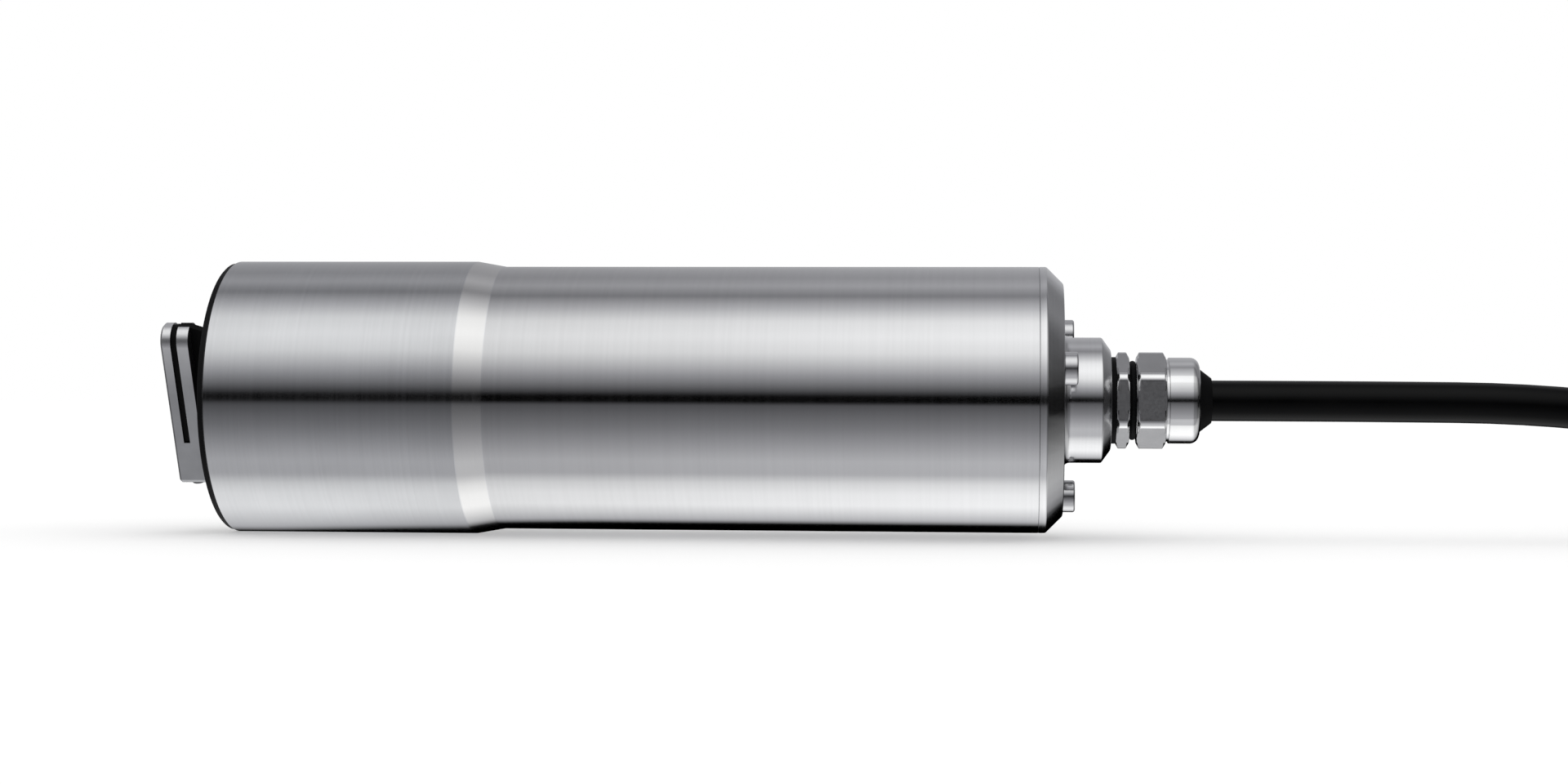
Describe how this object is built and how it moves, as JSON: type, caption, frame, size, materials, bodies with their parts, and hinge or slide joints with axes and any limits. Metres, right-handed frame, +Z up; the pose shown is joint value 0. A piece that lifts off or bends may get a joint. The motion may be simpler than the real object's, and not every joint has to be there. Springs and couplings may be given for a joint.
{
  "type": "water quality sensor",
  "caption": "Submersible steel cylinder probe with a sweeping wiper over its front optics, a screwed rear cap, a cable gland and a tied cable ending in a round plug.",
  "frame": {"origin": "under the middle of the probe's length, without its cable, on the surface that it lies on", "axes": "+X along the probe from the wiper to the cable, +Z up, +Y away from the side that the picture shows"},
  "size_m": [0.6313, 0.1014, 0.0705],
  "materials": {
    "satin_steel": "satin turned stainless steel",
    "bright_steel": "fine turned stainless steel",
    "cast_steel": "blasted cast stainless steel",
    "plated_metal": "nickel plated",
    "black_plastic": "machined black plastic",
    "black_rubber": "matt rubber",
    "window_glass": "polished",
    "lens_resin": "tinted clear resin",
    "board": "solder-masked laminate",
    "component": "moulded",
    "bronze": "sintered bronze",
    "alloy": "milled",
    "cable_jacket": "smooth polyurethane",
    "wire_cores": "insulated cores",
    "plug_plastic": "moulded",
    "gold_pins": "gold plated",
    "strap": "hook and loop strap"
  },
  "bodies": {
    "root": {"optics_head": "satin_steel", "housing_tube": "bright_steel", "rear_cap": "bright_steel", "cap_screws": "bright_steel", "head_o_ring": "black_rubber", "carrier_o_ring": "black_rubber", "cap_o_ring": "black_rubber", "optics_carrier": "black_plastic", "emitter_window": "window_glass", "side_detector_window": "window_glass", "back_detector_window": "window_glass", "emitter": "lens_resin", "side_detector": "lens_resin", "back_detector": "lens_resin", "optics_board": "board", "board_pillars": "alloy", "axle_lip_seal": "black_rubber", "axle_bush": "bronze", "gearmotor": "plated_metal", "tie_rod_1": "bright_steel", "tie_rod_2": "bright_steel", "tie_rod_3": "bright_steel", "motor_bulkhead": "alloy", "rear_bulkhead": "alloy", "main_board": "board", "board_parts": "component", "terminal_block": "plug_plastic", "wire_loom": "wire_cores", "gland_gasket": "black_rubber", "gland_body": "plated_metal", "gland_nut": "plated_metal", "gland_seal": "black_rubber", "cable_in_gland": "cable_jacket", "cable_lead": "cable_jacket", "cable_hank": "cable_jacket", "cable_tail": "cable_jacket", "hank_ties": "strap", "plug_boot": "plug_plastic", "plug_shell": "plug_plastic", "plug_insert": "black_plastic", "plug_pins": "gold_pins"},
    "wiper": {"wiper_arm": "cast_steel", "wiper_blade": "black_rubber", "wiper_clamp_screw": "bright_steel", "wiper_axle": "bright_steel", "shaft_coupling": "alloy", "motor_shaft": "bright_steel"},
    "coupling_ring": {"plug_ring": "plated_metal"}
  },
  "joints": [
    {"name": "wiper_sweep", "type": "hinge", "parent": "root", "child": "wiper", "pos_m": [-0.1138, 0, 0.017], "axis": [-1, 0, 0], "range_deg": [0, 88]},
    {"name": "coupling_ring_turn", "type": "hinge", "parent": "root", "child": "coupling_ring", "pos_m": [0.4608, 0.036, 0.063], "axis": [1, 0, 0], "continuous": true}
  ]
}
